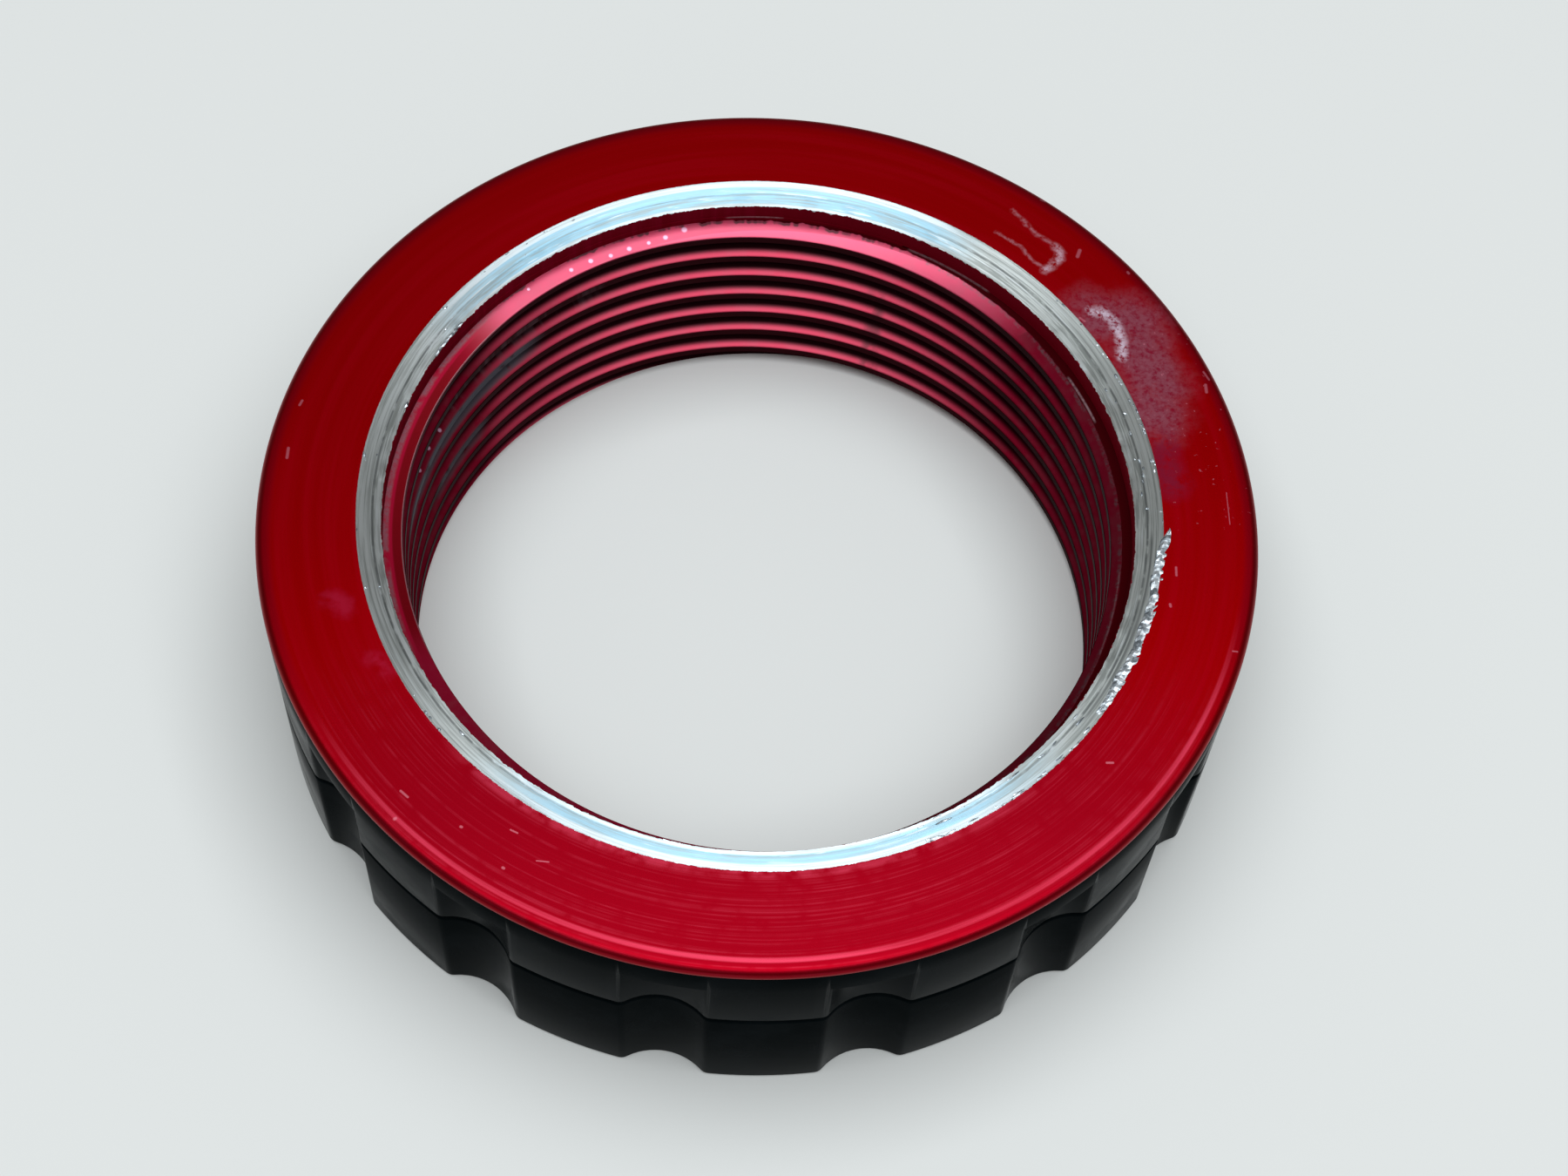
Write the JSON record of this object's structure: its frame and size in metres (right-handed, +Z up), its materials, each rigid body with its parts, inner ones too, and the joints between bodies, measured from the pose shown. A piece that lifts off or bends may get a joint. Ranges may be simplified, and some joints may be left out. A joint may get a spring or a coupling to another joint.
{
  "type": "notched lock ring collar",
  "caption": "Short flanged sleeve with a threaded bore, ringed by a fixed notched ring and a notched lock ring that turns below it.",
  "frame": {"origin": "centre of the foot, on the axis of the bore, on the plane that the lock ring stands on", "axes": "+Z up the axis of the bore, from the foot to the flange; +X through the middle of a notch"},
  "size_m": [0.044, 0.044, 0.0116],
  "materials": {
    "red_anodised": "satin red anodised, turned face, bare turned aluminium band round the mouth of the bore",
    "black_anodised": "polished dark anodised"
  },
  "bodies": {
    "sleeve": {"flanged_sleeve": "red_anodised", "upper_ring": "black_anodised"},
    "lock_ring": {"lock_ring": "black_anodised"}
  },
  "joints": [
    {"name": "lock_turn", "type": "hinge", "parent": "sleeve", "child": "lock_ring", "pos_m": [0, 0, 0.0032], "axis": [0, 0, 1], "range_deg": [-100, 0]}
  ]
}
